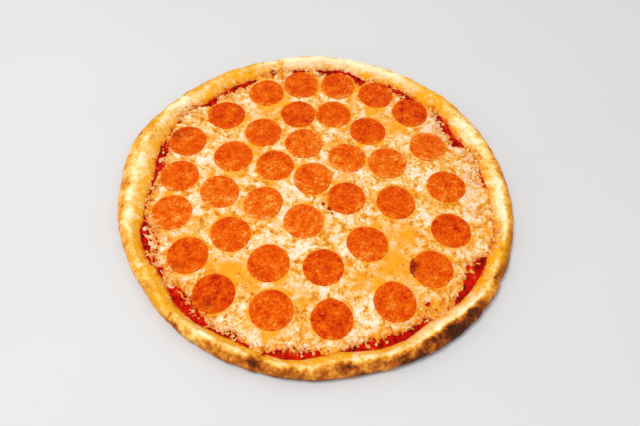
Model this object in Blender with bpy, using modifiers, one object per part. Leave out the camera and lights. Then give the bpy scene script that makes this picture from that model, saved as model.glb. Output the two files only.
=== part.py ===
"""A whole round pepperoni pizza, uncut.

A baked dough base with a raised, uneven rim carries a thin layer of sauce, a layer of
melted cheese and thirty-seven thin slices of pepperoni laid in three rings round one
middle slice. Lengths are in metres, bearings in degrees anticlockwise from +X, and the
pizza rests flat on its underside at z = 0.
"""
import math

import bpy

# Driving dimensions
GAP = 0.0003                # clearance between pieces that touch
CRUST_RADIUS = 0.1957       # mean outer radius of the dough
CRUST_OVAL = 0.0024         # how much wider the dough is along X than its mean
RIM_HEIGHT = 0.0170         # mean height of the rim's crest
RIM_WIDTH = 0.0225          # mean distance from the rim's inner foot to its outermost point
CREST_INSET = 0.0100        # from the rim's crest to its outermost point, where the rim has its mean width
WIDEST_HEIGHT = 0.0075      # height at which the rim is widest
FOOT_INSET = 0.0060         # from the underside's edge to the rim's outermost point
BASE_THICKNESS = 0.0045     # dough under the toppings
SAUCE_THICKNESS = 0.0010
CHEESE_THICKNESS = 0.0025
SLICE_RADIUS = 0.0196       # mean radius of a pepperoni slice
SLICE_THICKNESS = 0.0015
SLICE_EDGE = 0.0004         # how far a slice's top and bottom edges are rounded off

# How far each layer's mean edge stays inside the rim's inner foot
SAUCE_INSET = 0.0018
CHEESE_INSET = 0.0048

# Steps round the axis
CRUST_STEPS = 120
SAUCE_STEPS = 72
CHEESE_STEPS = 72
SLICE_STEPS = 22

# Swells and dips of the rim: bearing, size and spread in degrees
OUTLINE_LOBES = (
    (166, 0.0045, 12),
    (325, 0.0025, 18),
    (215, -0.0025, 14),
    (285, -0.0020, 8),
    (110, -0.0015, 15),
)
WIDTH_LOBES = (
    (178, 0.0060, 32),
    (90, -0.0045, 34),
    (270, -0.0040, 36),
)
CREST_LOBES = (
    (94, 0.0018, 7),
    (48, 0.0012, 9),
    (160, 0.0012, 12),
    (205, -0.0014, 14),
    (258, -0.0035, 3),
    (308, 0.0016, 14),
    (338, -0.0012, 6),
)

# Pepperoni slices, ring by ring: distance in millimetres from the rings' centre, and bearing
RINGS_CENTRE = (-0.0020, -0.0015)
OUTER_RING = (
    (135, 8), (136, 31), (153, 50), (153, 67), (151, 84), (150, 100),
    (146, 116), (140, 138), (149, 159), (139, 177), (143, 195), (141, 216),
    (146, 235), (135, 257), (138, 280), (140, 305), (140, 326), (140, 346),
)
MIDDLE_RING = (
    (85, 31), (100, 59), (107, 83), (106, 104), (95, 130), (96, 157),
    (96, 185), (96, 216), (93, 246), (86, 279), (78, 314), (82, 356),
)
INNER_RING = ((56, 57), (64, 105), (53, 146), (54, 200), (37, 256), (32, 351))
MIDDLE_SLICE = ((17, 103),)
SNUG_BEARINGS = (83, 104)   # two slices of the middle ring that nearly touch
SNUG_SHRINK = 0.0006        # taken off the radius of each of those two


def lobes(bearing, table):
    """Sum of the swells and dips of a table at one bearing."""
    total = 0.0
    for centre, size, spread in table:
        away = (bearing - centre + 180) % 360 - 180
        total += size * math.exp(-(away / spread) ** 2)
    return total


def ripple(bearing, size, start):
    """Ragged wander of a layer's edge, no more than size either way."""
    angle = math.radians(bearing)
    waves = ((5, 0.40), (8, 0.30), (13, 0.30))
    return size * sum(share * math.sin(count * angle + start * count) for count, share in waves)


def outline(bearing):
    """Outer radius of the dough."""
    oval = CRUST_OVAL * math.cos(math.radians(2 * bearing))
    return CRUST_RADIUS + oval + lobes(bearing, OUTLINE_LOBES)


def rim_width(bearing):
    """Distance from the rim's inner foot to the dough's outer edge."""
    return RIM_WIDTH + lobes(bearing, WIDTH_LOBES)


def sauce_edge(bearing):
    """Radius at which the sauce ends."""
    return outline(bearing) - rim_width(bearing) - SAUCE_INSET + ripple(bearing, 0.0012, 0.7)


def cheese_edge(bearing):
    """Radius at which the cheese ends, always inside the sauce's edge."""
    return outline(bearing) - rim_width(bearing) - CHEESE_INSET + ripple(bearing, 0.0015, 2.1)


def remove_objects():
    """Start from an empty scene."""
    for item in list(bpy.data.objects):
        bpy.data.objects.remove(item, do_unlink=True)


def material(name, color, roughness):
    """Matt or oily food surface in one colour."""
    made = bpy.data.materials.new(name)
    made.use_nodes = True
    shader = made.node_tree.nodes["Principled BSDF"]
    shader.inputs["Base Color"].default_value = (*color, 1.0)
    shader.inputs["Roughness"].default_value = roughness
    shader.inputs["Metallic"].default_value = 0.0
    return made


def turned_mesh(name, profile, steps):
    """Closed mesh of a (radius, height) profile turned once round Z.

    The profile starts and ends on the axis and runs down its outer side.
    """
    line = bpy.data.meshes.new(name + "_profile")
    edges = [(i, i + 1) for i in range(len(profile) - 1)]
    line.from_pydata([(radius, 0.0, height) for radius, height in profile], edges, [])
    source = bpy.data.objects.new(name + "_profile", line)
    bpy.context.scene.collection.objects.link(source)
    screw = source.modifiers.new("Turn", "SCREW")
    screw.steps = steps
    screw.render_steps = steps
    screw.use_merge_vertices = True
    screw.merge_threshold = 0.00005
    bpy.context.view_layer.update()
    evaluated = source.evaluated_get(bpy.context.evaluated_depsgraph_get())
    mesh = bpy.data.meshes.new_from_object(evaluated)
    mesh.name = name
    bpy.data.objects.remove(source, do_unlink=True)
    bpy.data.meshes.remove(line)
    mesh.shade_smooth()
    mesh.set_sharp_from_angle(angle=math.radians(50))
    return mesh


def move_outwards(mesh, new_radius):
    """Give each vertex off the axis the radius new_radius(radius, bearing)."""
    for vertex in mesh.vertices:
        radius = math.hypot(vertex.co.x, vertex.co.y)
        if radius > 1e-6:
            bearing = math.degrees(math.atan2(vertex.co.y, vertex.co.x))
            scale = new_radius(radius, bearing) / radius
            vertex.co.x *= scale
            vertex.co.y *= scale


def dough_radius(radius, bearing):
    """Uneven dough: the rim takes its width at this bearing, and the base fills what it leaves."""
    foot = CRUST_RADIUS - RIM_WIDTH
    uneven_foot = outline(bearing) - rim_width(bearing)
    if radius <= foot:
        return radius * uneven_foot / foot
    return uneven_foot + rim_width(bearing) * (radius - foot) / RIM_WIDTH


def rim_profile():
    """Half section of the dough: flat base, rounded rim, bulging outer side, flat underside."""
    foot = CRUST_RADIUS - RIM_WIDTH
    crest = CRUST_RADIUS - CREST_INSET
    rise = RIM_HEIGHT - BASE_THICKNESS
    drop = RIM_HEIGHT - WIDEST_HEIGHT
    points = [(0.0, BASE_THICKNESS)]
    for step in range(4):
        share = step / 4
        height = BASE_THICKNESS + rise * (1 - math.cos(math.pi * share)) / 2
        points.append((foot + (crest - foot) * share, height))
    for step in range(5):
        turn = math.radians(90 * step / 4)
        points.append((crest + CREST_INSET * math.sin(turn), WIDEST_HEIGHT + drop * math.cos(turn)))
    for step in range(1, 4):
        turn = math.radians(90 * step / 3)
        radius = CRUST_RADIUS - FOOT_INSET * (1 - math.cos(turn))
        points.append((radius, WIDEST_HEIGHT * (1 - math.sin(turn))))
    points.append((0.0, 0.0))
    return points


def raise_crest(mesh):
    """Give the rim its uneven height without moving the base under the toppings."""
    for vertex in mesh.vertices:
        if vertex.co.z > BASE_THICKNESS + 1e-6:
            bearing = math.degrees(math.atan2(vertex.co.y, vertex.co.x))
            share = (vertex.co.z - BASE_THICKNESS) / (RIM_HEIGHT - BASE_THICKNESS)
            vertex.co.z += lobes(bearing, CREST_LOBES) * share


def layer_profile(radius, bottom, thickness):
    """Half section of a thin layer with a rounded edge."""
    return [
        (0.0, bottom + thickness),
        (radius - thickness, bottom + thickness),
        (radius, bottom + thickness * 0.4),
        (radius - thickness * 0.3, bottom),
        (0.0, bottom),
    ]


def slice_profile(radius):
    """Half section of one slice, centred on its own middle height."""
    half = SLICE_THICKNESS / 2
    return [
        (0.0, half),
        (radius - SLICE_EDGE, half),
        (radius, half - SLICE_EDGE),
        (radius - SLICE_EDGE / 2, -half),
        (0.0, -half),
    ]


def add_piece(name, mesh, finish, collection, parent):
    """Link one piece of the pizza."""
    piece = bpy.data.objects.new(name, mesh)
    mesh.materials.append(finish)
    collection.objects.link(piece)
    piece.parent = parent
    return piece


def add_crust(collection, parent):
    """Dough base with its raised rim."""
    mesh = turned_mesh("crust", rim_profile(), CRUST_STEPS)
    move_outwards(mesh, dough_radius)
    raise_crest(mesh)
    return add_piece("crust", mesh, material("crust", (0.80, 0.50, 0.18), 0.55), collection, parent)


def add_sauce(collection, parent):
    """Thin layer of tomato sauce, which shows round the cheese's edge."""
    mean = CRUST_RADIUS - RIM_WIDTH - SAUCE_INSET
    bottom = BASE_THICKNESS + GAP
    mesh = turned_mesh("sauce", layer_profile(mean, bottom, SAUCE_THICKNESS), SAUCE_STEPS)
    move_outwards(mesh, lambda radius, bearing: radius * sauce_edge(bearing) / mean)
    add_piece("sauce", mesh, material("sauce", (0.55, 0.03, 0.01), 0.35), collection, parent)
    return bottom + SAUCE_THICKNESS


def add_cheese(collection, parent, sauce_top):
    """Melted cheese with a ragged edge."""
    mean = CRUST_RADIUS - RIM_WIDTH - CHEESE_INSET
    bottom = sauce_top + GAP
    mesh = turned_mesh("cheese", layer_profile(mean, bottom, CHEESE_THICKNESS), CHEESE_STEPS)
    move_outwards(mesh, lambda radius, bearing: radius * cheese_edge(bearing) / mean)
    add_piece("cheese", mesh, material("cheese", (0.90, 0.62, 0.30), 0.40), collection, parent)
    return bottom + CHEESE_THICKNESS


def add_slices(collection, parent, cheese_top):
    """Pepperoni slices, numbered ring by ring from the outside in."""
    height = cheese_top + GAP + SLICE_THICKNESS / 2
    places = [place for ring in (OUTER_RING, MIDDLE_RING, INNER_RING, MIDDLE_SLICE) for place in ring]
    for number, (distance, bearing) in enumerate(places, start=1):
        name = f"pepperoni_{number:02d}"
        radius = SLICE_RADIUS + 0.0003 * math.sin(2.4 * number)
        if (distance, bearing) in MIDDLE_RING and bearing in SNUG_BEARINGS:
            radius = SLICE_RADIUS - SNUG_SHRINK
        mesh = turned_mesh(name, slice_profile(radius), SLICE_STEPS)
        red = 0.5 + 0.5 * math.sin(1.7 * number)
        finish = material(name, (0.85, 0.16 + 0.06 * red, 0.01), 0.35)
        piece = add_piece(name, mesh, finish, collection, parent)
        angle = math.radians(bearing)
        out = distance / 1000
        piece.location = (
            RINGS_CENTRE[0] + out * math.cos(angle),
            RINGS_CENTRE[1] + out * math.sin(angle),
            height,
        )
        piece.rotation_euler = (0.0, 0.0, math.radians(47 * number % 360))
        stretch = 1 + 0.008 * math.sin(3.1 * number)
        piece.scale = (stretch, 1 / stretch, 1.0)


def centre_on(crust, parent):
    """Move the whole pizza so that the crust's box is centred over the origin."""
    across = [vertex.co.x for vertex in crust.data.vertices]
    along = [vertex.co.y for vertex in crust.data.vertices]
    parent.location = (
        -(min(across) + max(across)) / 2,
        -(min(along) + max(along)) / 2,
        0.0,
    )


def main():
    remove_objects()
    collection = bpy.data.collections.new("pepperoni_pizza")
    bpy.context.scene.collection.children.link(collection)
    pizza = bpy.data.objects.new("pizza", None)
    collection.objects.link(pizza)
    crust = add_crust(collection, pizza)
    sauce_top = add_sauce(collection, pizza)
    cheese_top = add_cheese(collection, pizza, sauce_top)
    add_slices(collection, pizza, cheese_top)
    centre_on(crust, pizza)
    bpy.context.view_layer.update()


main()
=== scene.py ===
import functools
import itertools
import math

import bpy
import numpy as np
from mathutils import Matrix, Vector


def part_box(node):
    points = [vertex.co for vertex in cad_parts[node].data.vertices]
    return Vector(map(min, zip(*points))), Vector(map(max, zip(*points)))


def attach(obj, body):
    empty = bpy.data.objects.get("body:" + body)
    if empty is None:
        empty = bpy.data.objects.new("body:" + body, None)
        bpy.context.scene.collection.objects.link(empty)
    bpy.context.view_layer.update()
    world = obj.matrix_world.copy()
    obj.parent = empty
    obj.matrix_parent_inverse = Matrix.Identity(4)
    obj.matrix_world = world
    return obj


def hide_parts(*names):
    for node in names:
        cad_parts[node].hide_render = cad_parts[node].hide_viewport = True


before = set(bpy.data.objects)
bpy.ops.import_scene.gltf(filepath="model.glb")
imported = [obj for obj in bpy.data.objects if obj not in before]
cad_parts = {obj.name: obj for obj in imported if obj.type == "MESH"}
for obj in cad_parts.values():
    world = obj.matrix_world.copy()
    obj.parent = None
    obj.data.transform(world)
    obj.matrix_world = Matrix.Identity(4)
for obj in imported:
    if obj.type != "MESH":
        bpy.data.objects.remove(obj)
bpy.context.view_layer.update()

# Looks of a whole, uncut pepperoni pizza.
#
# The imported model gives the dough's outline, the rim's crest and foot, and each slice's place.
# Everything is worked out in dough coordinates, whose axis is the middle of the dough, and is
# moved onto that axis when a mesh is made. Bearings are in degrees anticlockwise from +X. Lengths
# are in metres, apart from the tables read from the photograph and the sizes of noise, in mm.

MM = 0.001

# Camera, fitted to the photograph's 640 x 426 frame
FOCAL_PX = 587.0
PHOTO_WIDTH = 640.0
SENSOR_WIDTH = 36.0
CAMERA_DOWN = 57.0
CAMERA_ROLL = 4.3
CAMERA_FROM_AXIS = (0.0044, -0.3426, 0.4959)

# Studio
KEY_PLACE = (-0.50, -0.28, 1.7)
KEY_SIZE = 0.5
KEY_POWER = 17
STUDIO_STRENGTH = 0.74
FLOOR_HALF = 20.0

# Layers
BASE_TOP = 4.5 * MM
SAUCE_TOP = 5.8 * MM
CHEESE_TOP = 8.6 * MM
CHEESE_REACH = 13 * MM       # how far past the CAD's foot its mesh goes
SLICE_COUNT = 37
CAD_STEPS = 120

# The rim's section
CREST_SHARE = 0.48          # from its outermost point in to its crest, as a share of its width
CREST_DROP = 0.3 * MM       # how far its mean crest stays under the CAD's
WIDEST_SHARE = 0.44         # height at which it is widest, as a share of its crest's
TUCK = 6 * MM               # from its outermost point in to the underside
UNDERSIDE_LIFT = 0.25 * MM  # height of the underside's middle
UNDERSIDE_SHARES = (0.985, 0.96, 0.92, 0.86, 0.78, 0.68, 0.56, 0.42, 0.28, 0.14)

# Counts of scattered pieces, before those that would touch a slice are dropped
SCATTERED_SHREDS = 330
BROWNED_BITS = 150
FLECKS = 5
FLECKS_WHERE_SPECKLED = 14

# Resolution
RIM_STEPS = 1080
SAUCE_STEPS = 900
CHEESE_RINGS = 162
SLICE_RINGS = 19


# Frame: the dough's axis and its loops of points

def node_points(name):
    """Vertices of a CAD node."""
    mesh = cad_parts[name].data
    points = np.empty(len(mesh.vertices) * 3)
    mesh.vertices.foreach_get("co", points)
    return points.reshape(-1, 3)


def commonest(values):
    """The value that most of the numbers share."""
    found, counts = np.unique(np.round(values, 6), return_counts=True)
    return found[np.argmax(counts)]


# The dough is turned in equal steps from bearing 0, so its points share the axis's x and y most often
dough_points = node_points("crust")
AXIS = np.array([commonest(dough_points[:, 0]), commonest(dough_points[:, 1])])
dough_points = dough_points - [*AXIS, 0]


def cad_loop(points, column):
    """Largest radius (column 0) or height (column 1) of the points at each of the CAD's bearings."""
    radius = np.hypot(points[:, 0], points[:, 1])
    ring = points[radius > 0.1]
    radius = radius[radius > 0.1]
    step = np.round(np.degrees(np.arctan2(ring[:, 1], ring[:, 0])) * CAD_STEPS / 360).astype(int)
    loop = np.zeros(CAD_STEPS)
    np.maximum.at(loop, step % CAD_STEPS, radius if column == 0 else ring[:, 2])
    return loop


OUTLINE = cad_loop(dough_points, 0)
CREST = cad_loop(dough_points, 1)
FOOT = cad_loop(dough_points[np.abs(dough_points[:, 2] - BASE_TOP) < 1e-5], 0)


def around(loop, turn):
    """Smooth reading of a loop of CAD values at angles in radians."""
    place = np.asarray(turn) / (2 * math.pi) * len(loop)
    index = np.floor(place).astype(int)
    part = place - index
    a, b, c, d = (loop[(index + k) % len(loop)] for k in (-1, 0, 1, 2))
    return b + 0.5 * part * (c - a + part * (2 * a - 5 * b + 4 * c - d + part * (3 * (b - c) + d - a)))


def slice_places():
    """Centre and radius of each slice, in dough coordinates."""
    places = []
    for number in range(1, SLICE_COUNT + 1):
        low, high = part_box(f"pepperoni_{number:02d}")
        centre = [(low[k] + high[k]) / 2 - AXIS[k] for k in (0, 1)]
        radius = (high[0] - low[0] + high[1] - low[1]) / 4
        places.append((*centre, radius))
    return np.array(places)


SLICES = slice_places()


# Noise and falloff

DIRECTIONS = 4096
HASH = (73856093, 19349663, 83492791)


def hashed(cell):
    """One table index for each row of whole numbers."""
    index = cell[:, 0] * HASH[0]
    for axis in range(1, cell.shape[1]):
        index = index ^ (cell[:, axis] * HASH[axis])
    return index % DIRECTIONS


@functools.cache
def directions(seed):
    """Table of random unit vectors."""
    vectors = np.random.default_rng(seed).normal(size=(DIRECTIONS, 3))
    return vectors / np.linalg.norm(vectors, axis=1)[:, None]


def noise(points, size, seed):
    """Smooth noise, about -1 to 1, whose bumps are about size mm across."""
    vectors = directions(seed)
    scaled = points / (size * MM) + 0.37 * (seed % 17)
    cell = np.floor(scaled).astype(np.int64)
    part = scaled - cell
    fade = part ** 3 * (part * (part * 6 - 15) + 10)
    total = np.zeros(len(points))
    for corner in itertools.product((0, 1), repeat=3):
        weight = np.prod(np.where(corner, fade, 1 - fade), axis=1)
        slope = vectors[hashed(cell + corner)]
        total += weight * np.einsum("ij,ij->i", slope, part - corner)
    return total * 1.7


def cells(points, size, seed):
    """Distances to the nearest two of dots about size mm apart, in sizes, and the nearest one's number."""
    rng = np.random.default_rng(seed)
    spots = rng.random((DIRECTIONS, 2))
    numbers = rng.random(DIRECTIONS)
    scaled = points[:, :2] / (size * MM)
    square = np.floor(scaled).astype(np.int64)
    first = np.full(len(points), 9.0)
    second = np.full(len(points), 9.0)
    own = np.zeros(len(points))
    for step in itertools.product((-1, 0, 1), repeat=2):
        at = square + step
        index = hashed(at)
        away = np.linalg.norm(scaled - at - spots[index], axis=1)
        nearer = away < first
        second = np.where(nearer, first, np.minimum(second, away))
        own = np.where(nearer, numbers[index], own)
        first = np.where(nearer, away, first)
    return first, second, own


def ease(value, start, end):
    """0 up to start, 1 from end on, and smooth between."""
    share = np.clip((value - start) / (end - start), 0, 1)
    return share * share * (3 - 2 * share)


def bell(value):
    """1 at 0, falling smoothly to 0 on both sides."""
    return np.exp(-value ** 2)


def reading(table, turn):
    """Value at angles in radians, between a table's bearings."""
    return np.interp(np.degrees(turn), list(table), list(table.values()), period=360)


def polar(radius, turn):
    """x and y at a radius and an angle in radians."""
    return radius * np.cos(turn), radius * np.sin(turn)


def to_polar(x, y):
    """Radius and angle in radians of a place."""
    return np.hypot(x, y), np.arctan2(y, x)


def even_turns(steps):
    """Angles that go once round in equal steps."""
    return np.arange(steps) * 2 * math.pi / steps


def degrees_from(turn, bearing):
    """Degrees from a bearing to angles in radians, from -180 to 180."""
    return (np.degrees(turn) - bearing + 180) % 360 - 180


def blobs(x, y, table):
    """Sum of round (x, y, radius, size) patches, with x, y and radius in mm."""
    total = np.zeros_like(x)
    for centre_x, centre_y, radius, size in table:
        away = np.hypot(x / MM - centre_x, y / MM - centre_y)
        total += size * bell(away / radius)
    return total


def flat(x, y):
    """Points at height 0 for the noise functions."""
    return np.stack([x, y, np.zeros_like(x)], axis=1)


# Mesh building

def put_in_scene(name, data):
    thing = bpy.data.objects.new(name, data)
    bpy.context.scene.collection.objects.link(thing)
    return thing


def padded(values, extra, filler=0.0):
    """A mask held between 0 and 1, with a filler for the extra points that close a mesh."""
    return np.append(np.clip(values, 0, 1), np.full(extra, filler))


def ring_points(radius, turn, height):
    """Points at radii, angles and heights."""
    return np.stack([*polar(radius, turn), height + 0 * turn], axis=-1).reshape(-1, 3)


def make_piece(name, points, triangles, material, masks=None):
    """One smooth mesh object on the dough's axis, which rides on the pizza."""
    mesh = bpy.data.meshes.new(name)
    placed = points + [*AXIS, 0]
    mesh.vertices.add(len(placed))
    mesh.vertices.foreach_set("co", placed.astype(np.float32).ravel())
    mesh.loops.add(triangles.size)
    mesh.loops.foreach_set("vertex_index", triangles.astype(np.int32).ravel())
    mesh.polygons.add(len(triangles))
    mesh.polygons.foreach_set("loop_start", np.arange(0, triangles.size, 3, dtype=np.int32))
    mesh.update(calc_edges=True)
    mesh.shade_smooth()
    for mask, values in (masks or {}).items():
        layer = mesh.attributes.new(mask, "FLOAT", "POINT")
        layer.data.foreach_set("value", np.asarray(values, dtype=np.float32))
    mesh.materials.append(material)
    piece = put_in_scene(name, mesh)
    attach(piece, "root")
    return piece


def stack_triangles(rows, steps, start):
    """Triangles between rows of points, laid from the top's middle outwards and then down."""
    row, step = np.meshgrid(np.arange(rows - 1), np.arange(steps), indexing="ij")
    here = start + row * steps + step
    beside = start + row * steps + (step + 1) % steps
    one = np.stack([here, here + steps, beside + steps], axis=-1).reshape(-1, 3)
    two = np.stack([here, beside + steps, beside], axis=-1).reshape(-1, 3)
    return np.concatenate([one, two])


def fan_triangles(middle, first, steps, upwards):
    """Triangles from a middle point to a row of points."""
    step = np.arange(steps)
    here = first + step
    beside = first + (step + 1) % steps
    order = [np.full(steps, middle), here, beside] if upwards else [np.full(steps, middle), beside, here]
    return np.stack(order, axis=-1)


def closed_stack(points, steps, *ends):
    """Rows of points with a middle point at each end, and the triangles that close them."""
    rows = len(points) // steps
    points = np.concatenate([points, ends])
    triangles = np.concatenate([
        stack_triangles(rows, steps, 0),
        fan_triangles(len(points) - 2, 0, steps, True),
        fan_triangles(len(points) - 1, (rows - 1) * steps, steps, False),
    ])
    return points, triangles


def disc_layout(rings):
    """Share of the radius and angle of each point of an evenly meshed disc, and its triangles."""
    shares, turns, triangles = [np.zeros(1)], [np.zeros(1)], []
    start, previous = 1, 0
    for ring in range(1, rings + 1):
        count = 6 * ring
        shares.append(np.full(count, ring / rings))
        turns.append(even_turns(count))
        side, step = np.meshgrid(np.arange(6), np.arange(ring), indexing="ij")
        side, step = side.ravel(), step.ravel()
        outer = start + side * ring + step
        outer_next = start + (side * ring + step + 1) % count
        inner_count = max(count - 6, 1)
        inner = previous + (side * (ring - 1) + step) % inner_count
        inner_next = previous + (side * (ring - 1) + step + 1) % inner_count
        triangles.append(np.stack([outer, outer_next, inner], axis=1))
        inside = step < ring - 1
        triangles.append(np.stack([outer_next, inner_next, inner], axis=1)[inside])
        previous = start
        start += count
    return np.concatenate(shares), np.concatenate(turns), np.concatenate(triangles)


def closed_disc(top, triangles, edge_count, rows, bottom_height):
    """Adds rows of points below a disc's edge and closes them with a fan underneath."""
    first_edge = len(top) - edge_count
    points = np.concatenate([top, *rows, [[0.0, 0.0, bottom_height]]])
    sides = stack_triangles(len(rows) + 1, edge_count, first_edge)
    last_row = len(points) - 1 - edge_count
    under_fan = fan_triangles(len(points) - 1, last_row, edge_count, False)
    return points, np.concatenate([triangles, sides, under_fan])


# Materials

class Shader:
    """Node material with short calls for the nodes that food needs."""

    def __init__(self, name, roughness, specular):
        self.material = bpy.data.materials.new(name)
        self.material.use_nodes = True
        self.tree = self.material.node_tree
        self.surface = self.tree.nodes["Principled BSDF"]
        self.surface.inputs["Roughness"].default_value = roughness
        self.surface.inputs["Specular IOR Level"].default_value = specular
        self.place = self.tree.nodes.new("ShaderNodeTexCoord").outputs["Object"]

    def put(self, socket, value):
        if isinstance(value, bpy.types.NodeSocket):
            self.tree.links.new(value, socket)
        elif isinstance(value, tuple):
            socket.default_value = (*value, 1.0) if len(value) == 3 else value
        else:
            socket.default_value = value

    def node(self, kind, inputs):
        """New node with a value or a link put into each of its inputs."""
        node = self.tree.nodes.new("ShaderNode" + kind)
        for socket, value in inputs.items():
            self.put(node.inputs[socket], value)
        return node

    def noise(self, size, detail, roughness=0.55):
        """Noise from 0 to 1 with bumps about size mm across."""
        inputs = {"Vector": self.place, "Scale": 1 / (size * MM), "Detail": detail, "Roughness": roughness}
        return self.node("TexNoise", inputs).outputs["Fac"]

    def mask(self, name):
        """A mask that the mesh carries."""
        node = self.tree.nodes.new("ShaderNodeAttribute")
        node.attribute_name = name
        return node.outputs["Fac"]

    def math(self, kind, one, two):
        node = self.node("Math", {0: one, 1: two})
        node.operation = kind
        return node.outputs[0]

    def span(self, value, low, high, to_low=0.0, to_high=1.0):
        """Value from low..high carried to to_low..to_high and held there."""
        inputs = {"Value": value, "From Min": low, "From Max": high, "To Min": to_low, "To Max": to_high}
        return self.node("MapRange", inputs).outputs["Result"]

    def mix(self, share, one, two):
        """Colour one where share is 0 and colour two where it is 1."""
        node = self.tree.nodes.new("ShaderNodeMix")
        node.data_type = "RGBA"
        node.clamp_factor = True
        self.put(node.inputs["Factor"], share)
        self.put(node.inputs[6], one)
        self.put(node.inputs[7], two)
        return node.outputs[2]

    def ramp(self, value, *stops):
        """Colours at (place, colour) stops from 0 to 1."""
        node = self.tree.nodes.new("ShaderNodeValToRGB")
        self.put(node.inputs["Fac"], value)
        elements = node.color_ramp.elements
        for index, (place, color) in enumerate(stops):
            element = elements[index] if index < 2 else elements.new(place)
            element.position = place
            element.color = (*color, 1.0)
        return node.outputs["Color"]

    def stir(self, value, *grains):
        """Value with (noise, amount) grains added, each even about 0."""
        for grain, amount in grains:
            value = self.math("ADD", value, self.math("MULTIPLY", self.math("SUBTRACT", grain, 0.5), amount))
        return value

    def fray(self, mask, *grains):
        """A mask broken up by (noise, amount) grains, which stays 0 where it is 0."""
        return self.math("MULTIPLY", mask, self.stir(1.0, *grains))

    def bump(self, height, distance):
        node = self.node("Bump", {"Strength": 1.0, "Distance": distance, "Height": height})
        self.put(self.surface.inputs["Normal"], node.outputs["Normal"])

    def finish(self, color, sheen=(1.0, 1.0, 1.0)):
        self.put(self.surface.inputs["Base Color"], color)
        self.put(self.surface.inputs["Specular Tint"], sheen)
        return self.material


def crust_material():
    s = Shader("crust_baked", 0.6, 0.10)
    drift = s.noise(9, 3)
    grain = s.noise(2.2, 4, 0.65)
    fine = s.noise(0.9, 2)
    blotch = s.noise(5, 2)
    bake = s.stir(s.mask("bake"), (drift, 0.35), (blotch, 0.40), (grain, 0.45), (fine, 0.30))
    color = s.ramp(bake, (0.0, (0.94, 0.82, 0.52)), (0.20, (0.88, 0.55, 0.13)), (0.38, (0.74, 0.28, 0.028)),
                   (0.58, (0.44, 0.105, 0.010)), (0.78, (0.17, 0.030, 0.005)), (1.0, (0.05, 0.012, 0.005)))
    grease = s.fray(s.mask("grease"), (grain, 1.8), (blotch, 2.6), (drift, 1.2))
    color = s.mix(grease, color, (0.88, 0.39, 0.012))
    stain = s.fray(s.mask("stain"), (grain, 1.4), (blotch, 1.4))
    color = s.mix(stain, color, (0.74, 0.19, 0.006))
    color = s.mix(s.span(stain, 0.5, 1.4, 0.0, 0.8), color, (0.64, 0.06, 0.004))
    color = s.mix(s.span(s.stir(s.mask("scorch"), (grain, 0.7)), 0.35, 0.75), color, (0.32, 0.025, 0.005))
    s.bump(s.math("ADD", grain, s.math("MULTIPLY", fine, 0.5)), 0.45 * MM)
    return s.finish(color, (1.0, 0.60, 0.35))


def sauce_material():
    s = Shader("sauce_tomato", 0.20, 0.07)
    lump = s.noise(4, 3)
    grain = s.noise(1.3, 3)
    tone = s.stir(s.mask("tone"), (lump, 1.4), (grain, 0.7))
    color = s.ramp(tone, (0.0, (0.06, 0.004, 0.002)), (0.3, (0.27, 0.003, 0.001)),
                   (0.52, (0.52, 0.004, 0.001)), (0.78, (0.60, 0.016, 0.003)), (1.0, (0.72, 0.13, 0.015)))
    s.bump(s.math("ADD", lump, grain), 0.6 * MM)
    return s.finish(color, (1.0, 0.35, 0.15))


def cheese_material():
    s = Shader("cheese_melted", 0.42, 0.14)
    drift = s.noise(8, 3)
    curd = s.noise(3.6, 3, 0.6)
    grain = s.noise(1.4, 2)
    speck = s.noise(2.4, 1)
    tone = s.stir(s.mask("tone"), (drift, 1.7), (curd, 1.5), (grain, 0.9))
    color = s.ramp(tone, (0.0, (0.62, 0.145, 0.008)), (0.22, (0.78, 0.30, 0.014)),
                   (0.42, (0.80, 0.42, 0.085)), (0.62, (0.84, 0.61, 0.30)), (0.88, (0.86, 0.78, 0.62)))
    brown = s.stir(s.mask("toast"), (speck, 2.2), (drift, 0.8))
    oil = s.fray(s.stir(s.mask("oil"), (drift, 0.5), (curd, 0.5)), (curd, 2.0), (grain, 1.5))
    color = s.mix(oil, color, (0.88, 0.34, 0.008))
    color = s.mix(s.fray(s.mask("blush"), (curd, 2.2), (grain, 1.0)), color, (0.80, 0.30, 0.12))
    color = s.mix(s.span(brown, 0.50, 0.85, 0.0, 0.7), color, (0.52, 0.15, 0.010))
    s.bump(s.math("ADD", curd, s.math("MULTIPLY", grain, 0.5)), 0.6 * MM)
    return s.finish(color, (1.0, 0.9, 0.7))


def pepperoni_material():
    s = Shader("pepperoni_oily", 0.40, 0.035)
    drift = s.noise(7, 2)
    fat = s.noise(3.2, 3, 0.65)
    grain = s.noise(1.3, 2)
    tone = s.stir(s.mask("tone"), (drift, 0.95), (fat, 1.2), (grain, 0.9))
    color = s.ramp(tone, (0.0, (0.34, 0.008, 0.002)), (0.28, (0.60, 0.045, 0.002)),
                   (0.48, (0.68, 0.078, 0.002)), (0.68, (0.74, 0.125, 0.003)), (0.86, (0.78, 0.20, 0.015)),
                   (1.0, (0.80, 0.36, 0.11)))
    color = s.mix(s.mask("burn"), color, (0.16, 0.006, 0.003))
    s.bump(s.math("ADD", fat, s.math("MULTIPLY", grain, 0.6)), 0.5 * MM)
    return s.finish(color, (1.0, 0.35, 0.05))


def bits_material(name, light, dark, size):
    """Small bits in two colours."""
    s = Shader(name, 0.55, 0.05)
    tone = s.noise(size, 2)
    return s.finish(s.mix(s.span(tone, 0.38, 0.62), light, dark))


# Dough

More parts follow.
